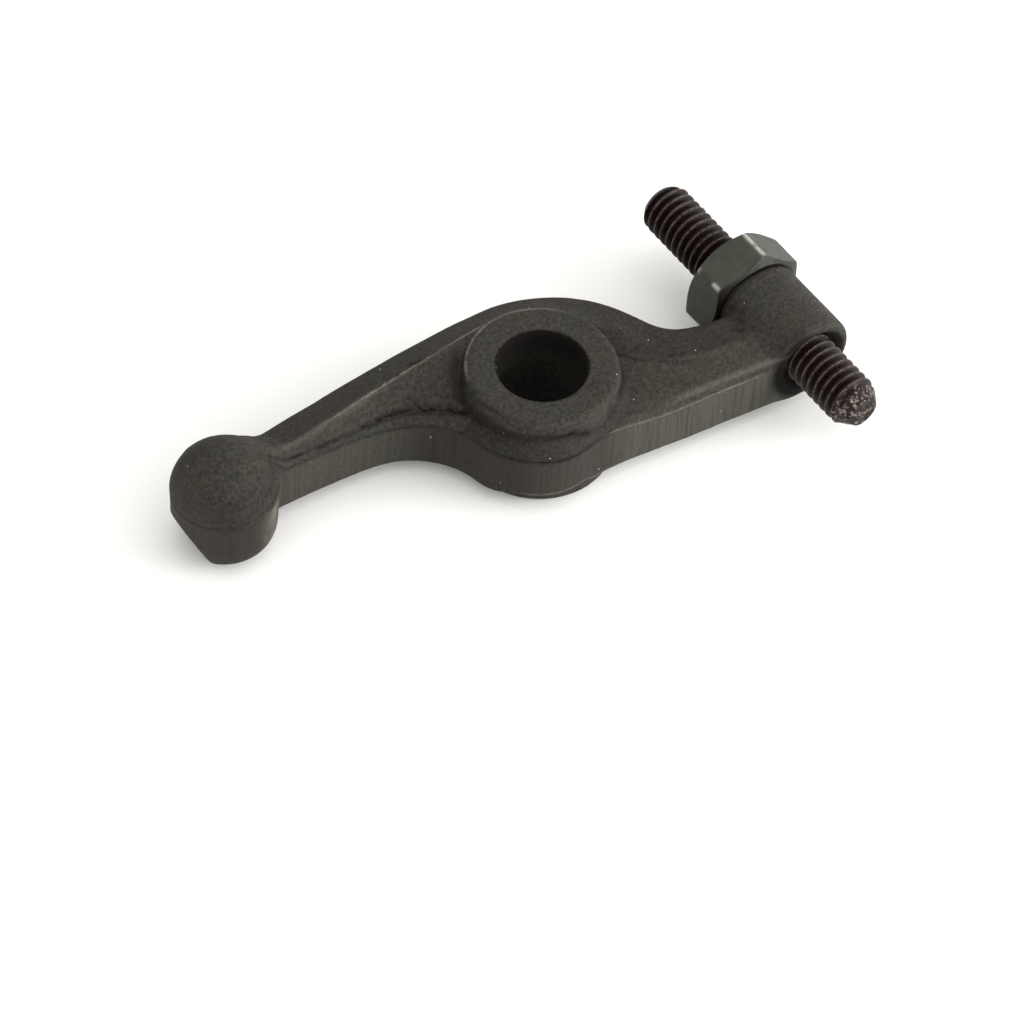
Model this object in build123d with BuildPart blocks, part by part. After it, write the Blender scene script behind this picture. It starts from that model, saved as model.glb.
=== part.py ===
from build123d import *
from math import cos, radians, sin
import os

os.makedirs("parts", exist_ok=True)

# Forged rocker arm with its adjusting screw and lock nut, millimetres.
# The origin is the middle of the pivot bore. Z runs along the bore, Y along the screw.

# pivot hub
bore_d = 12.76
bore_chamfer = 0.35
hub_height = 16.8
ring_r = 11.1
ring_round = 0.6
hub_wall = 1.6
skirt_reach = 4.0
skirt_top = 7.5
shoulder_top = 6.4
hub_turn_from = 190
hub_turn_to = 265

# forged arms, heights above the middle of the hub
arm_bottom = -6.0
hub_ledge = 2.6
arm_ledge = 3.1
web_top = 3.9
flange_top = 5.4
neck_ridge = 4.8
edge_round = 1.0

# knob at the push end
knob_x = -47.1
knob_y = 10.1
knob_r = 7.9
knob_crown = 7.1
knob_crease = 2.3
knob_step = 0.25
knob_band = 4.9

# screw end
screw_x = 37.6
screw_d = 7.9
screw_length = 48.6
screw_proud = 16.3
far_lead = 0.8
point_length = 1.5
point_depth = 1.2
thread_clear = 0.05
boss_r = 6.7
boss_near = -15.6
boss_round = 0.8
seat_y = -1.45

# hex lock nut
nut_flats = 14.8
nut_height = 6.75
nut_turn = 19.8
nut_gap = 0.02
nut_face_trim = 0.4
nut_corner_trim = 1.0
nut_mouth = 0.6

# sizes that follow
hub_half = hub_height / 2
hub_r = ring_r + hub_wall
skirt_r = ring_r + skirt_reach
band_r = knob_r - knob_step
band_low = knob_crease - knob_band
knob_top = knob_crease + knob_crown
knob_bottom = -hub_half
hole_r = screw_d / 2 + thread_clear
nut_low = seat_y + nut_gap
nut_high = nut_low + nut_height
screw_far = nut_high + screw_proud
parting_x = 0.1802 * ring_r
web_end_x = 1.1968 * screw_x
same = 0.1
tall = 60.0


def on_hub(angle):
    return (hub_r * cos(radians(angle)), hub_r * sin(radians(angle)))


# point at 45 degrees on the arc that runs from a rim to a pole on the upright axis
def dome_middle(edge_r, edge_z, pole_z):
    centre = (edge_r ** 2 + edge_z ** 2 - pole_z ** 2) / (2 * (edge_z - pole_z))
    radius = abs(pole_z - centre)
    lean = 1 if pole_z > centre else -1
    return (radius * sin(radians(45)), centre + lean * radius * cos(radians(45)))


# plan outline of the forging, from the knob round the near side and back along the far side
neck_near = (0.9554 * knob_x, 0.8317 * knob_y)
neck_far = (0.9554 * knob_x, 1.396 * knob_y)
push_near = [neck_near, (0.6688 * knob_x, 0.7624 * knob_y), (0.5456 * knob_x, 0.703 * knob_y),
             (-1.5984 * hub_r, 0.4567 * hub_r), (-1.2598 * hub_r, 0.2362 * hub_r), on_hub(hub_turn_from)]
screw_near_side = [on_hub(hub_turn_to), (0.2677 * hub_r, -0.8976 * hub_r),
                   (0.359 * screw_x, 0.8269 * boss_near), (0.6543 * screw_x, 0.9038 * boss_near),
                   (screw_x, 0.9744 * boss_near)]
far_side = [(screw_x, 0.266 * boss_near), (0.7101 * screw_x, 0.2244 * boss_near),
            (0.5691 * screw_x, 0.0962 * boss_near), (1.2119 * skirt_r, 0.2649 * skirt_r),
            (0.755 * skirt_r, 0.7715 * skirt_r), (0.0331 * skirt_r, 1.0232 * skirt_r),
            (-1.1589 * skirt_r, 1.0596 * skirt_r), (0.8047 * knob_x, 1.495 * knob_y), neck_far]

# line on the screw arm where the low near web meets the raised far flange
web_line_pts = [(parting_x, 0.3205 * boss_near), (1.036 * ring_r, 0.2051 * boss_near),
                (1.5315 * ring_r, 0.4615 * boss_near), (0.6809 * screw_x, 0.609 * boss_near),
                (web_end_x, 0.6538 * boss_near)]

# push arm roof, one (x, foot, ridge, far) station each, where the last three are (y, z)
roof_far = 1.1258 * skirt_r
roof_stations = [
    (parting_x, (-0.6299 * hub_r, hub_ledge), (0.991 * ring_r, 0.9643 * hub_half),
     (roof_far, 0.7407 * flange_top)),
    (-1.1024 * hub_r, (0.2126 * hub_r, 1.1613 * arm_ledge), (0.964 * ring_r, 0.8452 * hub_half),
     (roof_far, 0.6481 * flange_top)),
    (-1.6535 * hub_r, (0.5512 * hub_r, 0.871 * arm_ledge), (0.9459 * ring_r, 0.7857 * hub_half),
     (roof_far, 0.6111 * flange_top)),
    (0.9766 * knob_x, (0.8416 * knob_y, arm_ledge), (0.9901 * knob_y, neck_ridge),
     (roof_far, 0.3519 * flange_top)),
]

# shoulder that falls from the ring to the near rim of the hub
with BuildPart() as shoulder:
    with Locations((0, 0, (shoulder_top + hub_ledge) / 2)):
        Cone(hub_r, ring_r, shoulder_top - hub_ledge)

# air above the push arm
with BuildPart() as roof_air:
    for station, foot, ridge, far in roof_stations:
        with BuildSketch(Plane.YZ.offset(station)):
            Polygon((-tall, foot[1]), foot, ridge, far, (tall, far[1]),
                    (tall, tall), (-tall, tall), align=None)
    loft(ruled=True)
    add(shoulder.part, mode=Mode.SUBTRACT)

# air above the low near web of the screw arm
with BuildPart() as web_air:
    with BuildSketch(Plane.XY.offset(web_top)):
        with BuildLine():
            web_line = Spline(*web_line_pts)
            Polyline(web_line @ 1, (web_end_x, -tall), (parting_x, -tall), web_line @ 0)
        make_face()
    extrude(amount=tall)
    add(shoulder.part, mode=Mode.SUBTRACT)

# air above the far flange, less the skirt that falls away from the hub ring
with BuildPart() as flange_air:
    with BuildSketch(Plane.XY.offset(flange_top)):
        with Locations((parting_x + tall, 0)):
            Rectangle(2 * tall, 2 * tall)
    extrude(amount=tall)
    with Locations((0, 0, (flange_top + skirt_top) / 2)):
        Cone(skirt_r, ring_r, skirt_top - flange_top, mode=Mode.SUBTRACT)

# hub with rounded ring edges
with BuildPart() as hub_ring:
    Cylinder(ring_r, hub_height)
    fillet(hub_ring.edges().filter_by(GeomType.CIRCLE), ring_round)

# knob, turned about its own upright axis, with the trimmed band below its crease
with BuildPart() as knob:
    with BuildSketch(Plane.XZ):
        with BuildLine():
            Line((0, knob_bottom), (0, knob_top))
            crown_middle = dome_middle(knob_r, knob_crease, knob_top)
            base_middle = dome_middle(band_r, band_low, knob_bottom)
            ThreePointArc((0, knob_top), crown_middle, (knob_r, knob_crease))
            Polyline((knob_r, knob_crease), (band_r, knob_crease - knob_step), (band_r, band_low))
            ThreePointArc((band_r, band_low), base_middle, (0, knob_bottom))
        make_face()
    revolve(axis=Axis.Z)

# one-piece forging
with BuildPart() as rocker_body:
    with BuildSketch(Plane.XY.offset(arm_bottom)):
        with BuildLine():
            Spline(*push_near)
            hub_turn_middle = (hub_turn_from + hub_turn_to) / 2
            ThreePointArc(on_hub(hub_turn_from), on_hub(hub_turn_middle), on_hub(hub_turn_to))
            Spline(*screw_near_side)
            Line(screw_near_side[-1], far_side[0])
            Spline(*far_side)
            Line(neck_far, neck_near)
        make_face()
    extrude(amount=hub_half - arm_bottom)
    add(roof_air.part, mode=Mode.SUBTRACT)
    add(web_air.part, mode=Mode.SUBTRACT)
    add(flange_air.part, mode=Mode.SUBTRACT)
    web_edges = rocker_body.edges().filter_by_position(Axis.Z, web_top - same, web_top + same)
    web_edges = web_edges.filter_by(GeomType.BSPLINE).filter_by(lambda e: e.length > screw_x / 2)
    fillet(web_edges, edge_round)
    add(hub_ring.part)
    Cylinder(bore_d / 2, 2 * hub_height, mode=Mode.SUBTRACT)
    round_edges = rocker_body.edges().filter_by(GeomType.CIRCLE)
    bore_rims = round_edges.filter_by(lambda e: abs(e.radius - bore_d / 2) < same)
    chamfer(bore_rims, bore_chamfer)
    with Locations((knob_x, knob_y, 0)):
        add(knob.part)
    # screw boss, faced at the nut seat and rounded at its near end
    with BuildSketch(Plane.XZ.offset(-seat_y)):
        with Locations((screw_x, 0)):
            Circle(boss_r)
    extrude(amount=seat_y - boss_near)
    boss_rims = rocker_body.edges().filter_by_position(Axis.Y, boss_near - same, boss_near + same)
    fillet(boss_rims, boss_round)
    with BuildSketch(Plane.XZ.offset(-tall)):
        with Locations((screw_x, 0)):
            Circle(hole_r)
    extrude(amount=2 * tall, mode=Mode.SUBTRACT)

rocker_body.part.label = "rocker_body"
export_step(rocker_body.part, "parts/rocker_body.step")

# adjusting screw at its crest size, lead chamfer at the far end and a blunt point at the near end
with BuildPart() as adjusting_screw:
    with BuildSketch(Plane.XZ.offset(-screw_far)):
        with Locations((screw_x, 0)):
            Circle(screw_d / 2)
    extrude(amount=screw_length)
    rims = adjusting_screw.edges().filter_by(GeomType.CIRCLE).sort_by(Axis.Y)
    chamfer(rims[-1], far_lead)
    near_face = adjusting_screw.faces().sort_by(Axis.Y)[0]
    chamfer(rims[0], point_depth, point_length, reference=near_face)

adjusting_screw.part.label = "adjusting_screw"
export_step(adjusting_screw.part, "parts/adjusting_screw.step")

# hex lock nut seated on the boss, both faces bevelled
corner_r = nut_flats / 2 / cos(radians(30))
face_r = nut_flats / 2 - nut_face_trim
with BuildPart() as lock_nut:
    with BuildSketch(Plane.XZ.offset(-nut_high)):
        with Locations((screw_x, 0)):
            RegularPolygon(nut_flats / 2, 6, major_radius=False, rotation=nut_turn)
    extrude(amount=nut_height)
    with BuildSketch(Plane.XY):
        with Locations((screw_x, 0)):
            Polygon((0, nut_low), (face_r, nut_low), (corner_r, nut_low + nut_corner_trim),
                    (corner_r, nut_high - nut_corner_trim), (face_r, nut_high), (0, nut_high), align=None)
    revolve(axis=Axis((screw_x, 0, 0), (0, 1, 0)), mode=Mode.INTERSECT)
    with BuildSketch(Plane.XZ.offset(-tall)):
        with Locations((screw_x, 0)):
            Circle(hole_r)
    extrude(amount=2 * tall, mode=Mode.SUBTRACT)
    round_edges = lock_nut.edges().filter_by(GeomType.CIRCLE)
    mouth_rims = round_edges.filter_by(lambda e: abs(e.radius - hole_r) < same)
    chamfer(mouth_rims, nut_mouth)

lock_nut.part.label = "lock_nut"
export_step(lock_nut.part, "parts/lock_nut.step")
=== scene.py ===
import bpy
import numpy as np
from mathutils import Matrix, Vector


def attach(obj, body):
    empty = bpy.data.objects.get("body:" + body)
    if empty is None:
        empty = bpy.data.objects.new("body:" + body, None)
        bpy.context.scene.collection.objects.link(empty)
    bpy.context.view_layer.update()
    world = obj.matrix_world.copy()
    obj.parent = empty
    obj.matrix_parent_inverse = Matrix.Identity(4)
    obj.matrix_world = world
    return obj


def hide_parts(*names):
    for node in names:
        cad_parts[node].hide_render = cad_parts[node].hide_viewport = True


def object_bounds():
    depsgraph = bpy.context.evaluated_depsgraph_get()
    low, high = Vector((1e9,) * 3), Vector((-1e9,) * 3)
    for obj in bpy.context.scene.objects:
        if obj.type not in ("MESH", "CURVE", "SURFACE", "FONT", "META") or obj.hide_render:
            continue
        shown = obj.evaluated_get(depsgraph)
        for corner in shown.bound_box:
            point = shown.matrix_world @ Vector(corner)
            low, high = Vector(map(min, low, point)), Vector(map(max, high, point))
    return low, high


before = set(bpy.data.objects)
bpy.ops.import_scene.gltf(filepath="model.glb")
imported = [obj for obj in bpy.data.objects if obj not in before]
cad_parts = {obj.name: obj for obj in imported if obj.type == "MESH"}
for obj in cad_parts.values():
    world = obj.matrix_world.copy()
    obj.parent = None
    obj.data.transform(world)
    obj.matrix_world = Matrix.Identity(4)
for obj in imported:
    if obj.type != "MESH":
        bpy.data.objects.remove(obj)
cadLow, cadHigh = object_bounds()
mm = 0.001
print("frame loaded:", sorted(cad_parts))


# small helpers

def smoothMin(a, b, k):
    # lesser of two distances, with a blend k mm wide where they are close
    h = np.maximum(k - np.abs(a - b), 0) / k
    return np.minimum(a, b) - h * h * k * 0.25


def smoothMax(a, b, k):
    # greater of two distances, with the same blend
    return -smoothMin(-a, -b, k)


def ramp(low, high, v):
    # smooth rise from 0 at low to 1 at high
    t = np.clip((v - low) / (high - low), 0, 1)
    return t * t * (3 - 2 * t)


def band(v, start, full, fade, end):
    # smooth rise from start to full, then a smooth fall from fade to end
    return ramp(start, full, v) * ramp(end, fade, v)


def bell(v, middle, width):
    # bump of height 1 at the middle, down to about a third one width away
    return np.exp(-((v - middle) / width) ** 2)


def cubicThrough(knots, values, at):
    # natural cubic spline through the knots, read at any places, level past its ends
    k = np.asarray(knots, float)
    v = np.asarray(values, float)
    h = np.diff(k)
    n = len(k)
    a = np.eye(n)
    inner = np.arange(1, n - 1)
    a[inner, inner - 1] = h[:-1]
    a[inner, inner] = 2 * (h[:-1] + h[1:])
    a[inner, inner + 1] = h[1:]
    slope = np.diff(v.T).T / (h if v.ndim == 1 else h[:, None])
    r = np.zeros_like(v)
    r[1:-1] = 6 * np.diff(slope, axis=0)
    m = np.linalg.solve(a, r)
    x = np.clip(np.asarray(at, float), k[0], k[-1])
    i = np.clip(np.searchsorted(k, x, side="right") - 1, 0, n - 2)
    if v.ndim > 1:
        x, hi, ki, kj = x[:, None], h[i][:, None], k[i][:, None], k[i + 1][:, None]
    else:
        hi, ki, kj = h[i], k[i], k[i + 1]
    left, right = kj - x, x - ki
    return (m[i] * left ** 3 + m[i + 1] * right ** 3) / (6 * hi) \
        + (v[i] / hi - m[i] * hi / 6) * left + (v[i + 1] / hi - m[i + 1] * hi / 6) * right


def table(pairs):
    # curve of one value along the arm, as a function of x
    k, v = np.array(sorted(pairs), float).T
    return lambda x: cubicThrough(k, v, x)


def curveThrough(points, count):
    # plan curve through the points, by the length of its chords
    p = np.asarray(points, float)
    s = np.concatenate([[0], np.cumsum(np.linalg.norm(np.diff(p, axis=0), axis=1))])
    return cubicThrough(s, p, np.linspace(0, s[-1], count))


def latticeNoise(p, size, seed):
    # smooth noise from -1 to 1 with grains of that size in mm: each corner of a cell has its own number,
    # mixed from its place with large odd numbers, and the eight corners are blended
    q = p / size
    i = np.floor(q).astype(np.int64)
    f = q - i
    f = f * f * (3 - 2 * f)
    total = 0
    for c in range(8):
        o = np.array([c & 1, c >> 1 & 1, c >> 2 & 1])
        n = ((i + o) * np.array([73856093, 19349663, 83492791])).sum(-1) + seed * 7919
        n = (n ^ (n >> 13)) * 1274126177 & 0x7FFFFFFF
        n = (n ^ (n >> 16)) * 668265263 & 0x7FFFFFFF
        w = np.where(o, f, 1 - f).prod(-1)
        total = total + w * (n / 0x3FFFFFFF - 1)
    return total


def newPiece(name, points, faces, body, replaced):
    # mesh from arrays in mm, at the origin of the frame, with its body and the node it replaces
    mesh = bpy.data.meshes.new(name)
    mesh.from_pydata((points * mm).tolist(), [], faces)
    mesh.validate()
    mesh.shade_smooth()
    piece = bpy.data.objects.new(name, mesh)
    bpy.context.scene.collection.objects.link(piece)
    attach(piece, body)
    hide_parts(replaced)
    return piece


def paint(piece, name, values):
    # one number for each point, for the piece's own material
    layer = piece.data.attributes.new(name, "FLOAT", "POINT")
    layer.data.foreach_set("value", np.asarray(values, np.float32))


# the forging: its plan lines and heights, in mm

forging = {
    "grid": 0.30,  # spacing of the net of points
    "mapStep": 0.15,  # spacing of the plan maps
    "low": (-56.2, -17.0, -9.6),
    "high": (46.0, 19.2, 10.6),
    "armEnds": (-46.0, 38.5),
    "bottom": -6.0,
    "hubLift": 1.1,
    "ringRadius": 11.1,
    "ringHalf": 8.4,
    "ringRound": 0.95,
    "ringBlend": 0.8,
    "ringBlendRight": 2.4,  # added to the blend where the ring runs out into the screw arm
    "rightTurn": (-55, 15),  # middle and width of that place round the hub, in degrees
    "boreRadius": 6.38,
    "boreMouth": 0.3,
    "mouthDepth": 0.8,
    "screwX": 37.6,
    "bossRadius": 6.7,
    "bossSquare": 2.7,  # 2 is round, more is squarer
    "bossBlend": 1.7,
    "seatY": -1.45,
    "seatRadius": 9.2,
    "holeRadius": 4.02,
    "sinkY": -13.7,
    "sinkDepth": 1.3,
    "knob": (-47.1, 10.1, 1.55, 7.83),  # middle and radius of the ball
    "knobSquare": 2.15,
    "knobFoot": 7.62,
    "knobBase": -8.38,
    "knobCrease": 3.1,
    "facetFace": (-0.897, 0.055, -0.43),  # which way the facet on the knob's foot looks
    "facetReach": 7.1,
    "ridgeRound": 0.35,
    "webHigh": 4.75,
    "flangeStep": 0.4,
    "flangeFall": 0.05,
    "skirtHigh": 7.75,
    "skirtFall": 0.56,
    "flareHigh": 6.9,
    "flareFall": 2.8,
    "waviness": 0.05,
}

# plan lines, (x, y) from the knob to the boss
nearEdge = [(-60.0, 9.4), (-45.0, 8.6), (-37.6, 8.35), (-31.5, 8.05), (-25.7, 7.55), (-20.3, 6.35),
            (-16.0, 3.3), (-13.4, -0.6), (-12.4, -4.2), (-9.8, -8.7), (-6.3, -11.4), (-2.4, -12.25),
            (2.1, -11.6), (8.6, -11.85), (16.0, -12.85), (24.6, -13.8), (33.0, -14.75), (37.6, -15.05),
            (46.0, -15.1)]
farEdge = [(-60.0, 13.8), (-45.0, 14.7), (-37.9, 15.5), (-28.0, 15.9), (-17.5, 16.2), (-8.0, 16.2),
           (0.5, 15.45), (11.4, 11.65), (18.3, 4.0), (21.4, -1.45), (26.7, -3.45), (37.6, -4.1), (48.0, -4.15)]
flangeEdge = [(2.0, 24.0), (6.0, 11.0), (9.3, 4.2), (12.4, -1.4), (14.0, -3.7), (17.4, -6.4), (19.2, -7.5),
              (22.9, -8.6), (27.0, -9.1), (34.0, -9.5), (48.0, -9.8)]

# values along the arm, (x, value)
ridgeY = table([(-60, 9.8), (-46, 10.0), (-36, 9.85), (-28, 10.15), (-21, 10.5), (-14, 10.8), (-7, 11.0),
                (2, 11.1), (9, 11.0)])
ridgeZ = table([(-60, 4.2), (-46, 4.8), (-36, 5.3), (-28, 5.95), (-21, 6.6), (-14, 7.15), (-7, 7.7),
                (0, 8.05), (9, 8.1)])
farFall = table([(-60, 0.36), (-46, 0.38), (-21, 0.47), (-14, 0.53), (2, 0.64), (9, 0.66)])
footY = table([(-60, 8.6), (-45, 8.7), (-37, 8.5), (-30, 7.95), (-24, 7.5), (-19, 6.8), (-16.9, 5.9),
               (-15.3, 4.8), (-13.5, 3.2), (-11.4, 1.6), (-8, -1.0), (2, -8.0), (9, -8.0)])
creaseZ = table([(-60, 2.3), (-45, 2.3), (-37, 2.1), (-30, 1.8), (-24, 1.5), (-20, 1.4), (-16.4, 2.0),
                 (-14, 2.35), (-11, 2.5), (-4, 2.45), (2, 2.3), (6, 2.1), (10, 1.6), (14, 1.4), (18, 1.5),
                 (27, 1.7), (48, 2.0)])
beadRise = table([(-60, 0.8), (-45, 0.85), (-30, 1.1), (-20, 1.3), (-15, 1.3), (-12, 1.8), (-9, 3.0),
                  (-4, 3.6), (0, 3.1), (4, 1.7), (9, 1.7), (18, 2.0), (27, 1.9), (48, 1.8)])
beadWidth = table([(-60, 0.5), (-45, 0.5), (-30, 0.55), (-24, 0.8), (-19, 1.5), (-15, 1.9), (-12, 2.0),
                   (-8, 1.7), (0, 1.5), (5, 1.2), (11, 1.0), (18, 0.9), (48, 0.9)])
grooveDepth = table([(-60, 0.2), (-45, 0.35), (-36, 0.42), (-24, 0.5), (-14, 0.5), (-9, 0.25), (-3, 0.2),
                     (4, 0.3), (9, 0.22), (14, 0.05), (18, 0.0), (48, 0.0)])

# marks in the upper face: (x, y, half length, half width, turn in degrees, depth)
marks = [
    (-14.2, 11.6, 1.3, 0.28, -24, 0.30),
    (-17.2, 10.9, 0.35, 0.22, 0, 0.25),
    (-15.9, 5.6, 2.3, 0.16, -62, 0.20),
    (-13.4, 5.9, 2.0, 1.5, -45, 0.22),
    (18.2, -6.3, 0.55, 0.22, -25, 0.22),
    (19.5, -6.9, 0.35, 0.2, -20, 0.2),
    (29.3, -6.9, 1.3, 0.5, -40, 0.25),
]
bossDent = {"place": (29.6, -6.9, 5.4), "spread": 1.6, "depth": 0.4}
partingLine = {"groove": 0.26, "grooveWidth": 0.28, "flash": 0.2, "flashWidth": 0.2}
shoulderFold = {"height": 4.3, "climb": 0.05, "width": 0.22, "depth": 0.1}
knobFold = {"crease": 0.22, "creaseWidth": 0.3, "above": 1.5, "fold": 0.2, "foldWidth": 0.3}


def sideOf(line, x, y):
    # distance from a plan line, positive on its left
    a, b = line[:-1], line[1:]
    d = b - a
    px, py = x.ravel()[:, None], y.ravel()[:, None]
    out = np.empty(x.size)
    for part in np.array_split(np.arange(x.size), max(1, x.size // 12000)):  # in batches, to spare memory
        ax, ay = px[part] - a[:, 0], py[part] - a[:, 1]
        t = np.clip((ax * d[:, 0] + ay * d[:, 1]) / (d ** 2).sum(1), 0, 1)
        gap = np.hypot(ax - t * d[:, 0], ay - t * d[:, 1])
        best = gap.argmin(1)
        row = np.arange(len(part))
        cross = d[best, 0] * ay[row, best] - d[best, 1] * ax[row, best]
        out[part] = gap[row, best] * np.sign(cross)
    return out.reshape(x.shape)


mapX = np.arange(forging["low"][0] - 0.6, forging["high"][0] + 0.6, forging["mapStep"])
mapY = np.arange(forging["low"][1] - 0.6, forging["high"][1] + 0.6, forging["mapStep"])
planX, planY = np.meshgrid(mapX, mapY, indexing="ij")
nearMap = sideOf(curveThrough(nearEdge, 260), planX, planY)
farMap = -sideOf(curveThrough(farEdge, 190), planX, planY)
flangeMap = sideOf(curveThrough(flangeEdge, 130), planX, planY) + 12 * ramp(2, 7, planY)


def upperFace(x, y, near, flange):
    # height of the upper face over the plan: on one arm a roof that falls from its ridge both ways,
    # on the other a web one step below its flange, round the ring a flare, and along the near rim a rounded
    # bead beside a groove
    s = forging
    hub = np.maximum(np.hypot(x, y) - s["ringRadius"], 0)
    rim = creaseZ(x) + beadRise(x)
    t = np.maximum((y - footY(x)) / (ridgeY(x) - footY(x)), 0)
    web = rim + (ridgeZ(x) - rim) * (0.75 * t + 0.25 * t ** 2)  # a little hollow
    fall = ridgeZ(x) - (y - ridgeY(x)) * farFall(x)
    push = smoothMin(web, fall, s["ridgeRound"])
    across = np.clip(near / (near + np.maximum(-flange, 0) + 0.01), 0, 1)  # 0 at the rim, 1 at the flange
    low = rim + (s["webHigh"] - rim) * across
    step = s["flangeStep"] * (1 - ramp(19, 30, x))  # runs out towards the boss
    screw = low + step * ramp(-0.45, 0.1, flange) - s["flangeFall"] * np.clip(flange, 0, 6)
    skirt = s["skirtHigh"] - hub * s["skirtFall"] - 6 * (1 - ramp(-2.5, 3.5, flange))
    screw = smoothMax(screw, skirt, 2.2)
    w = ramp(-3.0, 5.0, x)  # from one arm to the other
    h = push * (1 - w) + screw * w
    h = smoothMax(h, s["flareHigh"] - s["flareFall"] * hub, 1.0)
    u = np.clip(near / (0.8 * beadWidth(x)), 0, 1)
    bead = creaseZ(x) + beadRise(x) * np.sqrt(1 - (1 - u) ** 2) + 8 * ramp(0.8, 1.7, near / beadWidth(x))
    h = smoothMin(h, bead, 0.3)
    place = np.stack([x, y, 0 * x], -1)
    wander = latticeNoise(place, 1.3, 21)
    grooveAt = (1.1 + 0.1 * wander) * beadWidth(x)
    groove = grooveDepth(x) * (1 + 0.45 * wander) * bell(near, grooveAt, 0.16 * beadWidth(x) + 0.18)
    pebble = 1 + 0.6 * latticeNoise(place, 0.8, 22)
    for mx, my, long, wide, turn, depth in marks:
        c, q = np.cos(np.radians(turn)), np.sin(np.radians(turn))
        u, v = (x - mx) * c + (y - my) * q, (y - my) * c - (x - mx) * q
        groove = groove + depth * pebble * np.exp(-(u / long) ** 4 - (v / wide) ** 2)
    return h - groove


topMap = upperFace(planX, planY, nearMap, flangeMap)


def readMap(values, x, y):
    # plan map read between its grid points
    u = np.clip((x - mapX[0]) / forging["mapStep"], 0, len(mapX) - 1.001)
    v = np.clip((y - mapY[0]) / forging["mapStep"], 0, len(mapY) - 1.001)
    i, j = u.astype(int), v.astype(int)
    fu, fv = u - i, v - j
    return (values[i, j] * (1 - fu) + values[i + 1, j] * fu) * (1 - fv) \
        + (values[i, j + 1] * (1 - fu) + values[i + 1, j + 1] * fu) * fv


def superRound(a, b, power):
    # distance from an axis or a point that is round at power 2 and squarer above it
    return (np.abs(a) ** power + np.abs(b) ** power) ** (1 / power)


def knobSkin(x, y, z):
    # ball above a parting crease that climbs towards the arm, below it a slightly narrower drum with a round
    # base, cut by one slanting facet
    s, f = forging, knobFold
    kx, ky, kz, kr = s["knob"]
    across = np.hypot(x - kx, y - ky)
    crease = s["knobCrease"] + 0.10 * (x - kx) - 0.03 * (y - ky)
    ball = superRound(across, z - kz, s["knobSquare"]) - kr
    dent = f["crease"] * bell(z, crease, f["creaseWidth"])
    foldZ = crease + f["above"] + 0.12 * (x - kx)
    fold = f["fold"] * ramp(-3.0, 3.0, x - kx) * bell(z, foldZ, f["foldWidth"])
    drum = smoothMax(across - s["knobFoot"] - 0.02 * z, s["knobBase"] - z, 5.6)
    drum = smoothMax(drum, z - crease, 0.4)
    fx, fy, fz = s["facetFace"]
    facet = fx * (x - kx) + fy * (y - ky) + fz * z - s["facetReach"]
    drum = smoothMax(drum, facet, 0.3)
    return smoothMin(smoothMax(ball, crease - 0.5 - z, 0.5), drum, 0.25) + dent + fold


def bottomZ(x, near):
    # underside of the arm, raised a little along the near side of the hub
    return forging["bottom"] + forging["hubLift"] * ramp(3.5, 0.8, near) * band(x, -12.5, -9.5, -1.5, 2.5)


def forgingSkin(x, y, z, near, far, top):
    # signed distance to the forging's skin: below the upper face, above the flat underside and within the plan
    # lines, joined to the screw boss, the hub ring and the knob by blends, then bored
    s = forging
    d = smoothMax((z - top) * 0.85, -far, 1.2)
    d = smoothMax(d, bottomZ(x, near) - z, 0.8)
    d = np.maximum(d, s["armEnds"][0] - x)
    d = np.maximum(d, x - s["armEnds"][1])
    # boss, squarer on the side of the arm, with a dent where the flange runs into it
    reach = np.hypot(x - s["screwX"], z)
    block = superRound(x - s["screwX"], z, s["bossSquare"])
    boss = smoothMax(np.where(x < s["screwX"], block, reach) - s["bossRadius"], y - s["seatY"], 0.5)
    d = smoothMin(d, boss, s["bossBlend"])
    dx, dy, dz = bossDent["place"]
    away = (x - dx) ** 2 + (y - dy) ** 2 + (z - dz) ** 2
    d = d + bossDent["depth"] * np.exp(-away / bossDent["spread"])
    # near wall: a groove along the parting line on the push arm, a thin flash along it on the screw arm
    p = partingLine
    groove = p["groove"] * bell(z, creaseZ(x) - 0.12, p["grooveWidth"]) * (1 - ramp(0, 8, x))
    flash = p["flash"] * bell(z, creaseZ(x), p["flashWidth"]) * band(x, 3, 9, 26, 31)
    d = smoothMax(d, groove - flash - near, 0.5 + 0.9 * ramp(33, 39, x))
    # hub ring
    hub = np.hypot(x, y)
    qr, qz = hub - s["ringRadius"] + s["ringRound"], np.abs(z) - s["ringHalf"] + s["ringRound"]
    ring = np.hypot(np.maximum(qr, 0), np.maximum(qz, 0)) + np.minimum(np.maximum(qr, qz), 0)
    ring = ring - s["ringRound"]
    turn = np.degrees(np.arctan2(y, x))
    blend = s["ringBlend"] + s["ringBlendRight"] * bell(turn, *s["rightTurn"]) * ramp(-2, 2, z)
    d = smoothMin(d, ring, blend)
    f = shoulderFold
    fold = bell(z, f["height"] + f["climb"] * x, f["width"]) * bell(turn, -88, 28)
    d = d + f["depth"] * fold * band(hub, 10.9, 11.4, 12.5, 13.5)
    d = smoothMin(d, knobSkin(x, y, z), 1.4 + 2.6 * ramp(0.5, 4.0, z))
    # nut seat, screw hole and bore
    seat = np.maximum(reach - s["seatRadius"], s["seatY"] - y)
    d = smoothMax(d, -seat, 0.12)
    sink = np.clip(s["sinkY"] - y, 0, s["sinkDepth"])
    hole = s["holeRadius"] + sink + np.clip(y - s["seatY"] + 0.5, 0, 0.6)
    d = smoothMax(d, hole - reach, 0.15)
    bore = s["boreRadius"] + s["boreMouth"] * ramp(s["mouthDepth"], 0.0, s["ringHalf"] - np.abs(z))
    return smoothMax(d, bore - hub, 0.12)


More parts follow.
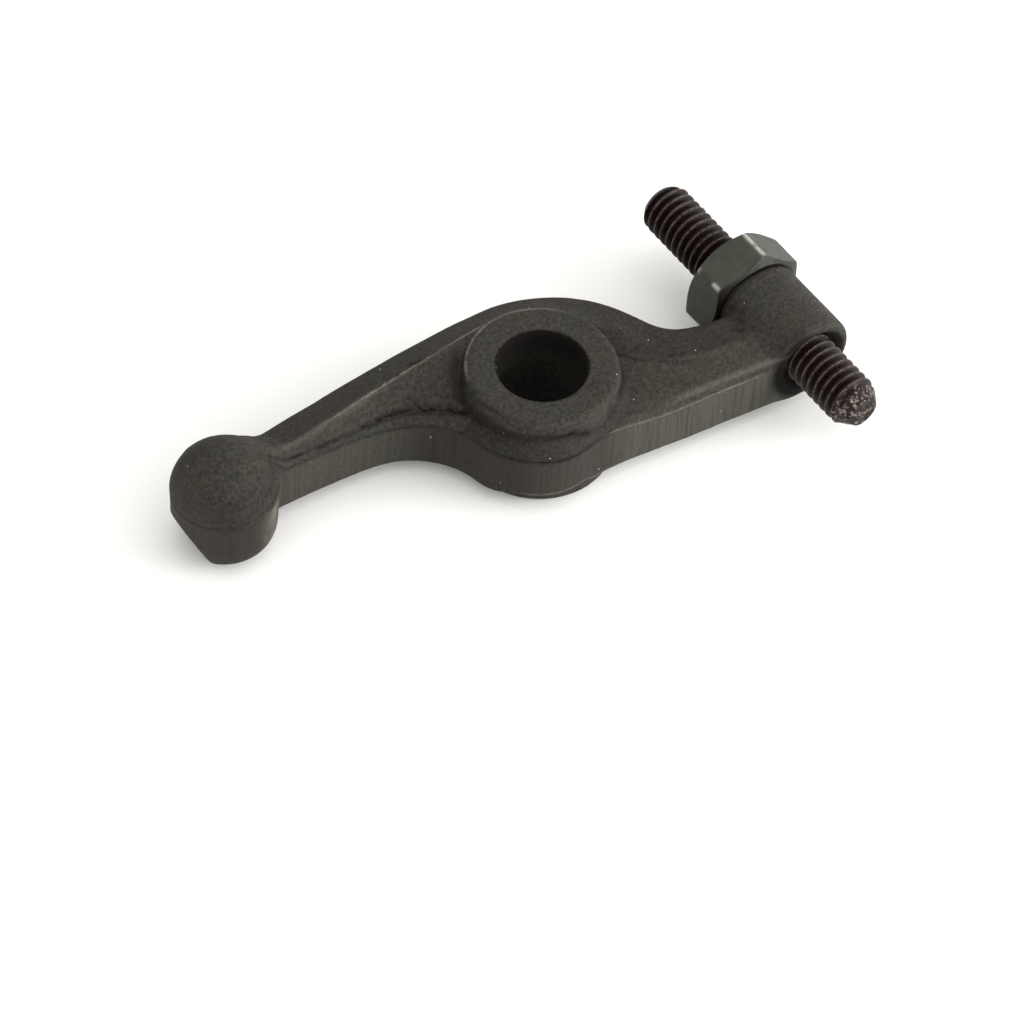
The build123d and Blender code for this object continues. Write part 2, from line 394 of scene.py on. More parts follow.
def skinAt(p):
    # the same distance at loose points, with the waviness of a forged skin away from what is machined
    x, y, z = p.T
    near, far, top = (readMap(m, x, y) for m in (nearMap, farMap, topMap))
    rough = latticeNoise(p, 4.5, 3) * 0.6 + latticeNoise(p, 1.9, 5) * 0.4
    calm = ramp(6.7, 7.6, np.hypot(x, y)) * ramp(4.6, 5.4, np.hypot(x - forging["screwX"], z))
    calm = calm * ramp(8.3, 7.4, np.abs(z))
    return forgingSkin(x, y, z, near, far, top) + forging["waviness"] * rough * calm


def netSurface(low, high, grid, field):
    # zero surface of a field on a box grid: one point in each cell that the surface crosses, and a quad round
    # each grid edge that it crosses
    axes = [np.arange(a, b, grid) for a, b in zip(low, high)]
    value = field(*axes)
    inside = value < 0
    shape = np.array(value.shape) - 1
    corners = np.array([[c & 1, c >> 1 & 1, c >> 2 & 1] for c in range(8)])
    count = 0
    for a, b, c in corners:
        count = count + inside[a:a + shape[0], b:b + shape[1], c:c + shape[2]].astype(np.int8)
    cells = np.argwhere((count > 0) & (count < 8))
    at = np.stack([value[tuple((cells + o).T)] for o in corners], 1)
    pairs = [(a, b) for a in range(8) for b in range(a + 1, 8) if bin(a ^ b).count("1") == 1]
    total, hits = np.zeros((len(cells), 3)), np.zeros(len(cells))
    for a, b in pairs:
        cross = (at[:, a] < 0) != (at[:, b] < 0)
        t = np.where(cross, at[:, a] / np.where(cross, at[:, a] - at[:, b], 1), 0)
        total += np.where(cross[:, None], corners[a] + t[:, None] * (corners[b] - corners[a]), 0)
        hits += cross
    points = np.array(low) + grid * (cells + total / hits[:, None])
    number = np.full(shape, -1, np.int64)
    number[tuple(cells.T)] = np.arange(len(cells))
    quads = []
    for axis in range(3):
        u, v = np.eye(3, dtype=int)[[(axis + 1) % 3, (axis + 2) % 3]]
        first = np.take(inside, range(inside.shape[axis] - 1), axis)
        last = np.take(inside, range(1, inside.shape[axis]), axis)
        edge = np.argwhere(first != last)
        edge = edge[((edge > 0) | (np.arange(3) == axis)).all(1) & (edge < shape).all(1)]
        ring = np.stack([number[tuple((edge - o).T)] for o in (0 * u, u, u + v, v)], 1)
        turned = ~first[tuple(edge.T)]
        ring[turned] = ring[turned][:, ::-1]
        quads.append(ring)
    return points, np.concatenate(quads)


def forgingField(ax, ay, az):
    # the skin's distance on a whole box grid
    gx, gy = np.meshgrid(ax, ay, indexing="ij")
    near, far, top = (readMap(m, gx, gy)[:, :, None] for m in (nearMap, farMap, topMap))
    return forgingSkin(gx[:, :, None], gy[:, :, None], az[None, None, :], near, far, top)


def settle(points, reach):
    # moves points along the field's slope onto the skin, and gives the outward direction there
    e = 0.06
    for _ in range(4):
        d = skinAt(points)
        g = np.stack([skinAt(points + o) - skinAt(points - o) for o in np.eye(3) * e], 1) / (2 * e)
        step = d[:, None] * g / np.maximum((g ** 2).sum(1), 0.05)[:, None]
        size = np.linalg.norm(step, axis=1, keepdims=True)
        points = points - step * np.minimum(1, reach / np.maximum(size, 1e-9))
    return points, g / np.linalg.norm(g, axis=1, keepdims=True)


def bendOf(points, reach):
    # bend of the skin at its points: the sum of its two curvatures in 1/mm, from the field at six places
    # round each point, positive on edges and negative in corners
    here = 6 * skinAt(points)
    round6 = sum(skinAt(points + o) + skinAt(points - o) for o in np.eye(3) * reach)
    return (round6 - here) / reach ** 2


bodyPoints, bodyQuads = netSurface(forging["low"], forging["high"], forging["grid"], forgingField)
bodyPoints, bodyNormals = settle(bodyPoints, 0.1)
bodyFaces = bodyQuads.tolist()
rockerForging = newPiece("rockerForging", bodyPoints, bodyFaces, "arm", "rocker_body")
print("forging skin:", len(bodyPoints), "points,", len(bodyQuads), "quads")

# how strongly each mark shows in the forging's finish, from 0 to 1
skinMarks = {
    "wearAndHighlight": {"knobFoot": 0.5, "ring": 0.85, "ridge": 0.8, "paleRidge": 0.12, "base": 1.0, "flash": 1.0,
             "rim": 0.2, "knobLeft": 0.06},
    "corner": {"bend": 0.7, "mouthOilAndShade": 1.0, "bore": 1.0, "ringFoot": 0.95, "groove": 0.6, "bead": 1.0,
               "seat": 0.8},
    "shadeAndSoot": {"shoulder": 0.5, "ball": 0.45, "far": 0.5, "hubWall": 0.55, "flange": 0.4, "boss": 0.7,
             "ringLeft": 0.9},
    "trimmed": {"wall": 1.0, "knobFoot": 0.55, "lowRing": 0.8},
}

x, y, z = bodyPoints.T
upDown = np.abs(bodyNormals[:, 2])
upright = 1 - ramp(0.35, 0.75, upDown)
bend = bendOf(bodyPoints, 0.3)
turn = np.degrees(np.arctan2(y, x))
fromHub = np.hypot(x, y)
fromRim = np.abs(readMap(nearMap, x, y))
fromScrew = np.hypot(x - forging["screwX"], z)
knobX, knobY = forging["knob"][:2]
aroundKnob = np.degrees(np.arctan2(y - knobY, x - knobX))
chips = 0.5 + 0.5 * latticeNoise(bodyPoints, 0.9, 31)
onRidge = ramp(4, 5, z)

# lighter: the ridge and the knob's foot rubbed bright, and a lighter line along the flash; painted highlights
# on the ring's far top edge, the lower edge of the hub wall, the bead's top edge on the screw arm and the
# knob's left side; a broad paler band along the ridge near the knob
wearAndHighlight = {
    # painted highlight on the ring's far top edge, broken up by chips
    "ring": bell(fromHub, 10.85, 0.2) * ramp(7.5, 8.1, z) * band(turn, 28, 60, 150, 168)
    * (0.35 + 0.65 * chips),
    "ridge": bell(y, ridgeY(x), 0.12) * band(x, -36, -20, -3.5, -1.5) * onRidge * (0.55 + 0.45 * chips),
    "paleRidge": bell(y, ridgeY(x), 0.5) * band(x, -44, -36, -24, -18) * onRidge,
    # painted highlight along the lower edge of the hub wall
    "base": bell(z, bottomZ(x, 0 * x) + 0.3, 0.22) * ramp(0.9, 0.4, fromRim) * band(x, -11, -7, 2, 8)
    * (0.2 + 0.5 * chips),
    "flash": bell(z, creaseZ(x), 0.2) * ramp(0.6, 0.3, fromRim) * band(x, 2, 7, 26, 32)
    * (0.3 + 0.3 * chips),
    # painted highlight along the bead's top edge on the screw arm
    "rim": bell(z, creaseZ(x) + 0.9 * beadRise(x), 0.3) * ramp(1.4, 0.8, fromRim) * band(x, 12, 18, 30, 35),
    "knobFoot": bell(aroundKnob, -58, 16) * ramp(-38, -40, x) * band(z, -7, -3, 2.2, 2.8)
    * (0.3 + 0.7 * chips),
    # painted highlight on the knob's left side
    "knobLeft": ramp(-50.5, -54, x),
}

# darker: painted shade where the skin bends inwards, in the bore, along the ring's foot, in the groove beside
# the bead, along the crease under the bead and on the seat under the nut; oil and painted shade in the screw
# hole's mouth
nearFoot = bell(turn, -97, 22) * (0.7 + 0.5 * chips)
rightFoot = band(turn, -66, -52, -10, 4)
openRight = 1 - bell(turn, *forging["rightTurn"]) * ramp(15, 13, fromHub)
corner = {
    "bend": ramp(0.7, 3.2, -bend) * openRight * (0.6 + 0.4 * chips),
    # oil and painted shade in the screw hole's mouth
    "mouthOilAndShade": ramp(1, -1, fromScrew - 5.4 - 1.7 * ramp(1, -3, x - forging["screwX"])) * ramp(-13.4, -14.2, y),
    "bore": ramp(7.0, 6.9, fromHub) * ramp(0.9, 0.7, upDown) * (0.2 + 0.8 * ramp(0, 7, z)),
    "ringFoot": bell(fromHub, 11.55, 0.34) * band(z, 4, 4.6, 7.6, 8.1) * (rightFoot + nearFoot),
    "groove": bell(fromRim / beadWidth(x), 1.1, 0.22) * band(x, -45, -40, -12, -8)
    * ramp(0.2, 0.6, bodyNormals[:, 2]) * (0.8 + 0.2 * chips),
    "bead": bell(z, creaseZ(x) - 0.05, 0.42) * ramp(0.9, 0.5, fromRim) * band(x, -15, -9, 1, 7)
    * (0.4 + 0.6 * chips),
    "seat": ramp(-1.3, -0.4, y - forging["seatY"]) * ramp(9.6, 8.6, fromScrew) * ramp(42, 34, x),
}

# browner and darker: painted shade on the knob, the far slopes, the hub's wall, the flange and the boss's
# flank; painted shade and soot on the shoulder; a soot smear on the web beside the ring
ballTone = 0.7 + 0.3 * ramp(-44, -50, x) * ramp(1.5, 3, z) + 0.8 * ramp(2.8, 2.2, z)
wallTone = 1.2 * bell(x, -15, 5) + 0.9 * band(x, -14, -9, 2, 9)
shadeAndSoot = {
    "shoulder": band(fromHub, 11.0, 11.4, 13, 14) * ramp(-30, -60, turn) * band(z, 2.2, 2.8, 6.0, 6.8),
    "ball": ramp(-39, -42, x) * ramp(8.5, 5.5, z) * ballTone,
    "far": ramp(0.15, 0.5, bodyNormals[:, 1]) * ramp(0, 1, z),
    "hubWall": upright * ramp(2.6, 2.0, z) * wallTone,
    "flange": ramp(-0.3, 0.3, readMap(flangeMap, x, y)) * band(x, 7, 11, 26, 30) * ramp(3, 4, z),
    "boss": bell(x, 30.6, 1.8) * bell(y, -4.8, 3.2) * ramp(3, 4, z),
    # a soot smear on the web beside the ring
    "ringLeft": bell(fromHub, 12.2, 0.9) * band(turn % 360, 122, 140, 180, 195) * ramp(4, 5, z),
}

# greyer, with upright streaks: the wall and the knob's foot, sheared by the trimming die; the lower ring is
# lightened the same way as painted light bounced up from the floor
trimmed = {
    "wall": upright * ramp(0.9, 0.3, fromRim) * ramp(-0.1, -0.6, z - creaseZ(x)) * ramp(38, 33, x)
    * (0.56 + 0.44 * ramp(2, 10, x)),
    "knobFoot": upright * ramp(-39.5, -41.5, x) * ramp(2.4, 1.8, z),
    # painted bounce light from the floor on the lower ring
    "lowRing": upright * ramp(-6.1, -6.5, z) * band(fromHub, 10.5, 10.9, 11.5, 12),
}

for name, masks in (("wearAndHighlight", wearAndHighlight), ("corner", corner), ("shadeAndSoot", shadeAndSoot)):
    paint(rockerForging, name, np.clip(sum(masks[k] * share for k, share in skinMarks[name].items()), 0, 1))
paint(rockerForging, "trimmed", np.max([trimmed[k] * share for k, share in skinMarks["trimmed"].items()], 0))
print("forging painted:", ", ".join(skinMarks))

# adjusting screw: a thread cut on a rod, in mm

screwCut = {
    "x": 37.6,
    "crest": 3.95,
    "root": 3.06,
    "pitch": 1.4111,
    "far": 21.60,
    "near": -26.80,
    "lead": 1.1,  # length of the chamfer at the far end
    "leadRadius": 3.05,
    "leadRise": 0.9,
    "farDip": 0.03,
    "point": 2.4,  # length of the worn point at the near end
    "pointRadius": 2.35,
    "pointRise": 1.45,
    "pointDip": 0.12,
    "chipDepth": 0.35,
    "innerRings": (0.72, 0.45, 0.2),  # rows that close an end face, as shares of its radius
    "rowsPerPitch": 22,
    "columns": 96,
}


def threadRadius(turn, y):
    # right-hand thread: flanks of 60 degrees between a narrow flat crest and a rounded root, the same shape at
    # every turn, and the crest where y over the pitch equals the turn
    s = screwCut
    phase = np.abs((y / s["pitch"] - turn / (2 * np.pi)) % 1 - 0.5) * 2
    flank = np.clip((phase - 0.14) / 0.72, 0, 1)
    return s["root"] + (s["crest"] - s["root"]) * smoothMax(flank, 0.06 + 0 * flank, 0.12)


def screwSurface():
    # rows along the axis and columns round it, r by the thread and by the two ends, then flat ends closed to
    # a point
    s = screwCut
    rows = int((s["far"] - s["near"]) / s["pitch"] * s["rowsPerPitch"])
    y = np.linspace(s["near"], s["far"], rows)[:, None]
    turn = np.linspace(0, 2 * np.pi, s["columns"], endpoint=False)[None, :]
    r = threadRadius(turn, y)
    lead = s["leadRadius"] + (s["far"] - y) * s["leadRise"] / s["lead"] + 0 * turn
    r = smoothMin(r, lead, 0.25)
    place = np.stack([3 * np.sin(turn) + 0 * y, 0 * turn + y, 3 * np.cos(turn) + 0 * y], -1)
    chip = latticeNoise(place, 1.3, 11) * 0.55 + latticeNoise(place, 0.6, 12) * 0.35
    point = s["pointRadius"] + (y - s["near"]) * s["pointRise"] / s["point"] + s["chipDepth"] * chip
    r = smoothMin(r, point, 0.2)
    pointEnd = s["near"] + s["point"]
    bare = ramp(pointEnd + 0.5, pointEnd - 0.7, y + 0.8 * chip)
    crest = ramp(3.72, 3.9, r)
    inner = np.array(s["innerRings"])[:, None]
    face = np.stack([inner * np.sin(turn) * 2.4, 0 * turn + 0 * inner, inner * np.cos(turn) * 2.4], -1)
    nearDip = s["pointDip"] + 0.25 * latticeNoise(face, 0.9, 14)
    r = np.vstack([inner[::-1] * r[0], r, inner * r[-1]])
    farDip = s["farDip"] * (1 - inner)
    yy = np.vstack([s["near"] + nearDip[::-1], y + 0 * turn, s["far"] - farDip + 0 * turn])
    none = np.zeros((len(inner), s["columns"]))
    bare = np.vstack([none + 1, bare, none])
    crest = np.vstack([none, crest, none])
    points = np.stack([s["x"] + r * np.sin(turn), yy, r * np.cos(turn)], -1)
    ends = np.array([[s["x"], s["near"] + s["pointDip"], 0], [s["x"], s["far"] - s["farDip"], 0]])
    return points, ends, bare, crest


def tubeFaces(rows, columns):
    # quads between the rows of a grid that closes round on itself, and a fan to the end point of each end
    i, j = np.meshgrid(np.arange(rows - 1), np.arange(columns), indexing="ij")
    k = (j + 1) % columns
    quads = np.stack([i * columns + j, i * columns + k, (i + 1) * columns + k, (i + 1) * columns + j], -1)
    j = np.arange(columns)
    k = (j + 1) % columns
    top = (rows - 1) * columns
    nearFan = np.stack([k, j, 0 * j + rows * columns], -1)
    farFan = np.stack([top + j, top + k, 0 * j + rows * columns + 1], -1)
    return quads.reshape(-1, 4).tolist() + nearFan.tolist() + farFan.tolist()


grid, ends, bare, crest = screwSurface()
screwPoints = np.vstack([grid.reshape(-1, 3), ends])
screwFaces = tubeFaces(*grid.shape[:2])
threadedScrew = newPiece("threadedScrew", screwPoints, screwFaces, "screw", "adjusting_screw")
paint(threadedScrew, "bare", np.append(bare.ravel(), [1, 0]))
paint(threadedScrew, "crest", np.append(crest.ravel(), [0, 0]))
print("screw thread:", len(screwPoints), "points")

# lock nut: hexagon with bevelled corners, in mm

hexNut = {
    "x": 37.6,
    "low": -1.43,
    "high": 5.32,
    "flats": 14.8,
    "turn": 19.8,
    "faceRadius": 7.0,
    "bevel": 0.65,  # fall of the bevel by its width
    "hole": 4.02,
    "mouth": 0.55,
    "edgeRound": 0.10,
    "columnsPerFlat": 24,
    "sharpAbove": 24,  # degrees between faces
}


def nutSurface():
    # a section from the hole out to the hexagon and back, carried round the axis: at each turn the outer
    # radius is the hexagon's, and the bevels run from the flat faces to wherever that radius meets their cone
    s = hexNut
    part = np.linspace(-1, 1, s["columnsPerFlat"], endpoint=False)
    part = np.sign(part) * (1 - (1 - np.abs(part)) ** 1.6)  # columns gather at the corners
    turn = (np.radians(60) * np.arange(6)[:, None] + np.radians(30) * part[None, :]).ravel()
    off = (turn + np.radians(30)) % np.radians(60) - np.radians(30)
    hexR = s["flats"] / 2 / np.cos(off)
    hexR = smoothMin(hexR, s["flats"] / 2 / np.cos(np.radians(30)) - s["edgeRound"] + 0 * hexR, 0.12)
    inset = (hexR - s["faceRadius"]) * s["bevel"]
    hole, mouth, face, cut = s["hole"], s["hole"] + s["mouth"], s["faceRadius"], s["mouth"]
    low, high = s["low"], s["high"]
    # stops of the section, (radius, height, rows to the next stop)
    stops = [(hole, high - cut, 6), (hole, low + cut, 3), (mouth, low, 5), (face, low, 5),
             (hexR, low + inset, 14), (hexR, high - inset, 5), (face, high, 5), (mouth, high, 3),
             (hole, high - cut, 0)]
    rows = []
    for (r0, y0, steps), (r1, y1, _) in zip(stops[:-1], stops[1:]):
        for t in np.arange(steps) / steps:
            rows.append((r0 + (r1 - r0) * t + 0 * hexR, y0 + (y1 - y0) * t + 0 * hexR))
    r, y = np.array(rows).transpose(1, 0, 2)
    angle = turn + np.radians(s["turn"] - 30)
    points = np.stack([s["x"] + r * np.cos(angle), y, r * np.sin(angle)], -1)
    worn = ramp(8.25, 8.5, r) + 0.3 * ramp(0.10, 0.0, np.abs(r - s["faceRadius"])) * ramp(0, 1, y)
    # the low face and its bevel, darkened in the finish with oil and painted shadow
    under = ramp(1.02, 0.98, (y - s["low"]) / np.maximum(inset, 0.2))
    return points, np.clip(worn, 0, 1), under


grid, worn, under = nutSurface()
rows, columns = grid.shape[:2]
i, j = np.meshgrid(np.arange(rows), np.arange(columns), indexing="ij")
i2, j2 = (i + 1) % rows, (j + 1) % columns
nutQuads = np.stack([i * columns + j, i2 * columns + j, i2 * columns + j2, i * columns + j2], -1)
nutFaces = nutQuads.reshape(-1, 4).tolist()
hexLockNut = newPiece("hexLockNut", grid.reshape(-1, 3), nutFaces, "nut", "lock_nut")
hexLockNut.data.set_sharp_from_angle(angle=np.radians(hexNut["sharpAbove"]))
paint(hexLockNut, "wearAndHighlight", worn.ravel())
paint(hexLockNut, "under", under.ravel())
print("lock nut:", rows * columns, "points")

# camera at the photo's angle, and a plain floor

view = {
    "right": (0.8117, -0.5824, 0.0445),
    "up": (0.4262, 0.6428, 0.6365),
    "back": (-0.3993, -0.4976, 0.7700),
    "shift": (-3.83, -15.38, 853.5),  # along those three, in mm
    "lens": 210.94,
    "sensor": 36.0,
    "floorHalf": 4,  # metres
}
camera = bpy.data.objects.new("camera", bpy.data.cameras.new("camera"))
bpy.context.scene.collection.objects.link(camera)
axes = np.array([view["right"], view["up"], view["back"]]).T
spot = Matrix.Translation(Vector(axes @ np.array(view["shift"]) * mm))
camera.matrix_world = spot @ Matrix(axes.tolist()).to_4x4()
camera.data.lens = view["lens"]
camera.data.sensor_width = view["sensor"]
camera.data.clip_start, camera.data.clip_end = 0.05, 20.0
bpy.context.scene.camera = camera

half = view["floorHalf"]
floorMesh = bpy.data.meshes.new("floor")
floorPlan = ((-half, -half), (half, -half), (half, half), (-half, half))
floorMesh.from_pydata([(a, b, cadLow.z) for a, b in floorPlan], [], [(0, 1, 2, 3)])
floor = bpy.data.objects.new("floor", floorMesh)
bpy.context.scene.collection.objects.link(floor)
print("camera and floor set")


# finishes

def fromHex(code):
    # sRGB hex to linear colour
    c = np.array([int(code[i:i + 2], 16) for i in (1, 3, 5)]) / 255
    return (*np.where(c <= 0.04045, c / 12.92, ((c + 0.055) / 1.055) ** 2.4), 1.0)


def perMm(size):
    # texture scale for a pattern of that size in mm, in metres of Object coordinates
    return 1 / (size * mm)


def grey(v):
    # a bare number as the colour of a ramp
    return (v, v, v, 1.0)


def addNode(tree, kind, settings=None, links=None, out=None):
    # one node: its own settings, its unlinked sockets, the stops of a ramp, then its links; gives the
    # output named, or the node itself
    node = tree.nodes.new("ShaderNode" + kind)
    for name, value in (settings or {}).items():
        if name == "stops":
            for spot, (position, colour) in zip(node.color_ramp.elements, value):
                spot.position, spot.color = position, colour
        elif isinstance(name, str) and hasattr(node, name):
            setattr(node, name, value)
        else:
            node.inputs[name].default_value = value
    for name, socket in (links or {}).items():
        tree.links.new(socket, node.inputs[name])
    return node if out is None else node.outputs[out]


def newMaterial(name):
    # a material with an empty tree
    material = bpy.data.materials.new(name)
    material.use_nodes = True
    material.node_tree.nodes.clear()
    return material, material.node_tree


amount, base, cover, mixed = 0, 6, 7, 2  # sockets of a Mix node set to colours
mixing = {"data_type": "RGBA"}

# white paper, matt
paper, tree = newMaterial("whitePaper")
plain = {"Base Color": fromHex("#f6f6f6"), "Roughness": 0.9, "Specular IOR Level": 0.1}
shader = addNode(tree, "BsdfPrincipled", plain, None, 0)
addNode(tree, "OutputMaterial", None, {"Surface": shader})
floorMesh.materials.append(paper)

# hot-forged steel, blackened: near black, matt and grainy, browner in patches, grey where the trimming die
# sheared it and rubbed bright on its sharpest edges, with a little dust; painted highlights on some edges,
# painted bounce light on the lower ring and painted shade in its corners, creases and bore and on faces turned
# from the light; the grain of real scale is too fine to show here, so grain and peel are drawn coarser
forgedScale = {
    "patchMm": 9,
    "grainMm": 0.45,
    "peelMm": 0.6,
    "shearMm": 0.45,
    "shearStretch": 0.04,  # streaks run along z
    "dustMm": 2.2,
    "dustSize": 0.05,  # share of that spacing
    "dustFew": 0.55,
    "tones": ("#1f1e1a", "#251f1b"),
    "pale": "#3d3b35",
    "shearedAndBounceLit": ("#36352d", "#47463f"),
    "shadeAndSoot": "#93827a",
    "corner": "#0d0907",
    "bright": "#8d887e",
    "dust": "#a9a7a2",
    "roughness": (0.62, 0.8),
    "specular": 0.2,
    "bumpMm": 0.25,
}
s = forgedScale
oxide, tree = newMaterial("blackenedForging")
place = addNode(tree, "TexCoord", out="Object")
wearAndHighlight, corner, trimmedWall, shadeAndSoot = (addNode(tree, "Attribute", {"attribute_name": n}, out="Fac")
                                   for n in ("wearAndHighlight", "corner", "trimmed", "shadeAndSoot"))
onPlace = {"Vector": place}
patch = addNode(tree, "TexNoise", {"Scale": perMm(s["patchMm"]), "Detail": 2}, onPlace, "Fac")
grain = addNode(tree, "TexNoise", {"Scale": perMm(s["grainMm"]), "Detail": 4, "Roughness": 0.65},
                onPlace, "Fac")
peel = addNode(tree, "TexNoise", {"Scale": perMm(s["peelMm"]), "Detail": 6, "Roughness": 0.75},
               onPlace, "Fac")
along = addNode(tree, "Mapping", {"Scale": (1, 1, s["shearStretch"])}, onPlace, "Vector")
shear = addNode(tree, "TexNoise", {"Scale": perMm(s["shearMm"]), "Detail": 4}, {"Vector": along}, "Fac")
stops = [(0.38, fromHex(s["tones"][0])), (0.64, fromHex(s["tones"][1]))]
tone = addNode(tree, "ValToRGB", {"stops": stops}, {"Fac": patch}, "Color")
mottle = addNode(tree, "ValToRGB", {"stops": [(0.38, grey(0.0)), (0.64, grey(1.0))]}, {"Fac": peel}, "Color")
colour = addNode(tree, "Mix", {**mixing, cover: fromHex(s["pale"])}, {amount: mottle, base: tone}, mixed)
stops = [(0.32, fromHex(s["shearedAndBounceLit"][0])), (0.68, fromHex(s["shearedAndBounceLit"][1]))]
streaks = addNode(tree, "ValToRGB", {"stops": stops}, {"Fac": shear}, "Color")
# greyer streaks where the die sheared, and on the lower ring as painted bounce light
colour = addNode(tree, "Mix", mixing, {amount: trimmedWall, base: colour, cover: streaks}, mixed)
# painted shade, with some soot, multiplied in
darken = {**mixing, "blend_type": "MULTIPLY", cover: fromHex(s["shadeAndSoot"])}  # keeps the grain under it
colour = addNode(tree, "Mix", darken, {amount: shadeAndSoot, base: colour}, mixed)
# painted shade in corners, creases, the bore and under the nut, with oil at the screw hole's mouth
colour = addNode(tree, "Mix", {**mixing, cover: fromHex(s["corner"])}, {amount: corner, base: colour}, mixed)
# lighter edges: painted highlights on some, rubbed wear on others
broken = addNode(tree, "ValToRGB", {"stops": [(0.35, grey(0.4)), (0.6, grey(1.0))]}, {"Fac": grain}, "Color")
brightened = addNode(tree, "Math", {"operation": "MULTIPLY"}, {0: wearAndHighlight, 1: broken}, 0)
colour = addNode(tree, "Mix", {**mixing, cover: fromHex(s["bright"])}, {amount: brightened, base: colour}, mixed)
dots = addNode(tree, "TexVoronoi", {"Scale": perMm(s["dustMm"])}, onPlace)
small = addNode(tree, "Math", {"operation": "LESS_THAN", 1: s["dustSize"]}, {0: dots.outputs["Distance"]}, 0)
few = addNode(tree, "Math", {"operation": "GREATER_THAN", 1: s["dustFew"]}, {0: dots.outputs["Color"]}, 0)
dust = addNode(tree, "Math", {"operation": "MULTIPLY"}, {0: small, 1: few}, 0)
colour = addNode(tree, "Mix", {**mixing, cover: fromHex(s["dust"])}, {amount: dust, base: colour}, mixed)
stops = [(0.3, grey(s["roughness"][0])), (0.7, grey(s["roughness"][1]))]
matt = addNode(tree, "ValToRGB", {"stops": stops}, {"Fac": grain}, "Color")
dull = addNode(tree, "Math", {"operation": "MAXIMUM"}, {0: matt, 1: corner}, 0)  # corners don't shine
shearedAndBounceLit = addNode(tree, "Math", {"operation": "MULTIPLY"}, {0: shear, 1: trimmedWall}, 0)
height = addNode(tree, "Math", {"operation": "MULTIPLY_ADD", 1: 0.8}, {0: peel, 2: shearedAndBounceLit}, 0)
height = addNode(tree, "Math", {"operation": "MULTIPLY_ADD", 1: 0.22}, {0: grain, 2: height}, 0)
bump = addNode(tree, "Bump", {"Strength": 1.0, "Distance": s["bumpMm"] * mm}, {"Height": height}, "Normal")
shader = addNode(tree, "BsdfPrincipled", {"IOR": 1.5, "Specular IOR Level": s["specular"]},
                 {"Base Color": colour, "Roughness": dull, "Normal": bump}, 0)
addNode(tree, "OutputMaterial", None, {"Surface": shader})
rockerForging.data.materials.append(oxide)

# rolled thread in oiled black-brown steel: dark roots, crests painted lighter as a thin highlight, and a
# chipped bare point; its grain is drawn coarser than the real one, so that it breaks up the crests
oiledThread = {
    "grainMm": 0.5,
    "chipMm": 0.6,
    "tones": ("#0d0504", "#180a07"),
    "crest": "#4a413c",
    "point": "#1b120f",
    "chip": "#857c76",
    "roughness": (0.36, 0.5),
    "specular": 0.14,
    "bumpMm": 0.05,
}
s = oiledThread
thread, tree = newMaterial("oiledBlackThread")
onPlace = {"Vector": addNode(tree, "TexCoord", out="Object")}
bareSteel, crestShine = (addNode(tree, "Attribute", {"attribute_name": n}, out="Fac")
                         for n in ("bare", "crest"))
grain = addNode(tree, "TexNoise", {"Scale": perMm(s["grainMm"]), "Detail": 3}, onPlace, "Fac")
stops = [(0.3, fromHex(s["tones"][0])), (0.7, fromHex(s["tones"][1]))]
tone = addNode(tree, "ValToRGB", {"stops": stops}, {"Fac": grain}, "Color")
broken = addNode(tree, "ValToRGB", {"stops": [(0.34, grey(0.1)), (0.62, grey(1.0))]}, {"Fac": grain}, "Color")
# painted highlight along the crests
brightened = addNode(tree, "Math", {"operation": "MULTIPLY"}, {0: crestShine, 1: broken}, 0)
colour = addNode(tree, "Mix", {**mixing, cover: fromHex(s["crest"])}, {amount: brightened, base: tone}, mixed)
flakes = addNode(tree, "TexNoise", {"Scale": perMm(s["chipMm"]), "Detail": 5, "Roughness": 0.65},
                 onPlace, "Fac")
stops = [(0.53, grey(0.0)), (0.62, grey(1.0))]
shining = addNode(tree, "ValToRGB", {"stops": stops}, {"Fac": flakes}, "Color")
metal = addNode(tree, "Math", {"operation": "MULTIPLY"}, {0: bareSteel, 1: shining}, 0)
colour = addNode(tree, "Mix", {**mixing, cover: fromHex(s["point"])}, {amount: bareSteel, base: colour}, mixed)
colour = addNode(tree, "Mix", {**mixing, cover: fromHex(s["chip"])}, {amount: metal, base: colour}, mixed)
stops = [(0.3, grey(s["roughness"][0])), (0.7, grey(s["roughness"][1]))]
matt = addNode(tree, "ValToRGB", {"stops": stops}, {"Fac": grain}, "Color")
bump = addNode(tree, "Bump", {"Strength": 0.6, "Distance": s["bumpMm"] * mm}, {"Height": grain}, "Normal")
shader = addNode(tree, "BsdfPrincipled", {"Specular IOR Level": s["specular"]},
                 {"Base Color": colour, "Metallic": metal, "Roughness": matt, "Normal": bump}, 0)
addNode(tree, "OutputMaterial", None, {"Surface": shader})
threadedScrew.data.materials.append(thread)

# cold-headed nut, phosphated: grey-green, satin and speckled, its corners nicked to bare metal and its seat
# side darkened with oil and painted shadow; real phosphate is too fine to show here, so its speckle is drawn
# at half a millimetre
phosphatedSteel = {
    "grainMm": 0.5,
    "patchMm": 2.5,
    "tones": ("#2f322a", "#3b3e35"),
    "worn": "#a9aaa4",
    "oilAndShadow": "#100b09",
    "roughness": (0.44, 0.58),
    "specular": 0.3,
    "bumpMm": 0.05,
}
s = phosphatedSteel
phosphate, tree = newMaterial("phosphatedNut")
onPlace = {"Vector": addNode(tree, "TexCoord", out="Object")}
wearAndHighlight, oiledAndShaded = (addNode(tree, "Attribute", {"attribute_name": n}, out="Fac") for n in ("wearAndHighlight", "under"))
grain = addNode(tree, "TexNoise", {"Scale": perMm(s["grainMm"]), "Detail": 4}, onPlace, "Fac")
patch = addNode(tree, "TexNoise", {"Scale": perMm(s["patchMm"]), "Detail": 3}, onPlace, "Fac")
stops = [(0.3, fromHex(s["tones"][0])), (0.7, fromHex(s["tones"][1]))]
